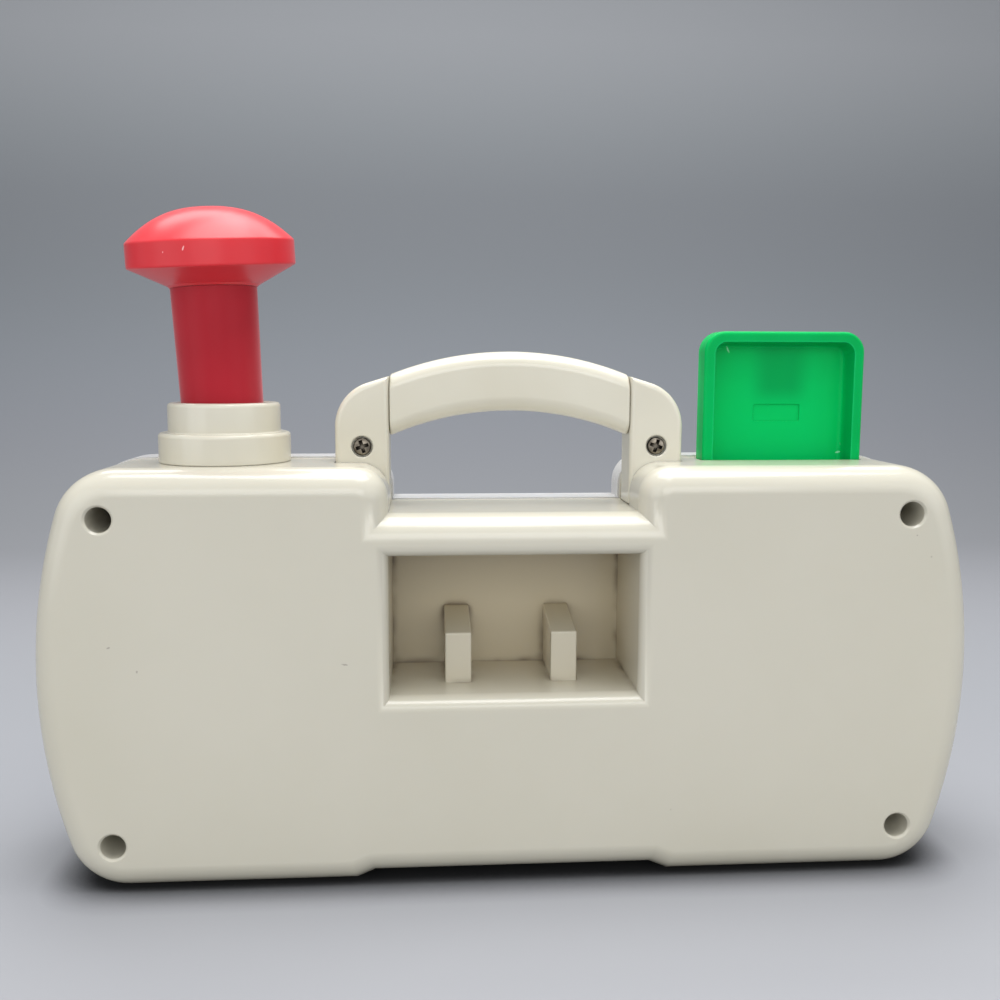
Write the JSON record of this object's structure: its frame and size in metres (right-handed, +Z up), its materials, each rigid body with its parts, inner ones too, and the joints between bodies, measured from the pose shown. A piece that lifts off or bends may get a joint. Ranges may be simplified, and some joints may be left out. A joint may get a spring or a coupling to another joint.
{
  "type": "toy boom box",
  "caption": "Baby's toy boom box seen from the back: cream case with a crib-strap pocket, turning grip between posts, red push plunger and green pop-up card",
  "frame": {"origin": "on the table, centred under the toy's bounding box", "axes": "+X toward the plunger side, +Y out of the back with the strap pocket, +Z up; the play face looks along -Y"},
  "size_m": [0.2798, 0.068, 0.2015],
  "materials": {
    "cream_shell": "glossy moulded ABS, lightly scuffed",
    "white_shell": "glossy moulded ABS",
    "cream_grip": "glossy moulded ABS",
    "red_knob": "glossy moulded ABS",
    "red_stem": "moulded ABS",
    "green_card": "glossy moulded polystyrene",
    "yellow_dial": "glossy moulded ABS",
    "blue_grille": "glossy moulded ABS",
    "orange_reel": "glossy moulded ABS",
    "smoke_window": "tinted polystyrene",
    "screw_steel": "nickel-plated steel, dulled",
    "rod_steel": "drawn steel",
    "rubber": "soft moulded rubber",
    "white_inner": "moulded acetal"
  },
  "bodies": {
    "case": {"back_shell": "cream_shell", "front_shell": "white_shell", "handle_post_left": "cream_grip", "handle_post_right": "cream_grip", "plunger_collar": "cream_grip", "squeaker_bellows": "rubber", "squeaker_whistle": "white_inner", "card_guide": "white_inner", "click_finger": "white_inner", "speaker_grille": "blue_grille", "cassette_window": "smoke_window", "key_rod": "rod_steel", "key_left_spring": "rod_steel", "key_middle_spring": "rod_steel", "key_right_spring": "rod_steel", "post_screw_left": "screw_steel", "post_screw_right": "screw_steel", "case_screw_1": "screw_steel", "case_screw_2": "screw_steel", "case_screw_3": "screw_steel", "case_screw_4": "screw_steel"},
    "plunger": {"plunger_knob": "red_knob", "plunger_stem": "red_stem", "plunger_retainer": "white_inner"},
    "card": {"popup_card": "green_card", "card_rack": "white_inner"},
    "dial": {"turning_dial": "yellow_dial", "dial_pinion": "white_inner", "dial_cap": "red_knob"},
    "grip": {"grip": "cream_grip"},
    "reel_left": {"tape_reel_left": "orange_reel"},
    "reel_right": {"tape_reel_right": "orange_reel"},
    "key_left": {"key_left": "red_knob"},
    "key_middle": {"key_middle": "yellow_dial"},
    "key_right": {"key_right": "blue_grille"}
  },
  "joints": [
    {"name": "plunger_press", "type": "slide", "parent": "case", "child": "plunger", "axis": [0.0436, 0, 0.999], "range_m": [-0.031, 0], "stiffness_N_per_m": 60, "springref_m": 0.02, "deforming": ["squeaker_bellows"]},
    {"name": "dial_spin", "type": "hinge", "parent": "case", "child": "dial", "pos_m": [-0.0863, -0.02395, 0.056], "axis": [0, 1, 0], "range_deg": [0, 181.4]},
    {"name": "card_slide", "type": "slide", "parent": "case", "child": "card", "axis": [0, 0, 1], "range_m": [-0.038, 0]},
    {"name": "grip_spin", "type": "hinge", "parent": "case", "child": "grip", "pos_m": [0, 0.00505, 0.1427], "axis": [1, 0, 0], "continuous": true},
    {"name": "reel_left_spin", "type": "hinge", "parent": "case", "child": "reel_left", "pos_m": [-0.0155, -0.02395, 0.075], "axis": [0, 1, 0], "continuous": true},
    {"name": "reel_right_spin", "type": "hinge", "parent": "case", "child": "reel_right", "pos_m": [0.0155, -0.02395, 0.075], "axis": [0, 1, 0], "continuous": true},
    {"name": "key_left_press", "type": "hinge", "parent": "case", "child": "key_left", "pos_m": [-0.023, -0.00195, 0.029], "axis": [1, 0, 0], "range_deg": [0, 5.5], "stiffness_Nm_per_rad": 0.1, "springref_deg": -8.59, "deforming": ["key_left_spring"]},
    {"name": "key_middle_press", "type": "hinge", "parent": "case", "child": "key_middle", "pos_m": [0, -0.00195, 0.029], "axis": [1, 0, 0], "range_deg": [0, 5.5], "stiffness_Nm_per_rad": 0.1, "springref_deg": -8.59, "deforming": ["key_middle_spring"]},
    {"name": "key_right_press", "type": "hinge", "parent": "case", "child": "key_right", "pos_m": [0.023, -0.00195, 0.029], "axis": [1, 0, 0], "range_deg": [0, 5.5], "stiffness_Nm_per_rad": 0.1, "springref_deg": -8.59, "deforming": ["key_right_spring"]}
  ],
  "couplings": [
    {"joint": "card_slide", "follows": "dial_spin", "m_per_rad": -0.012}
  ]
}
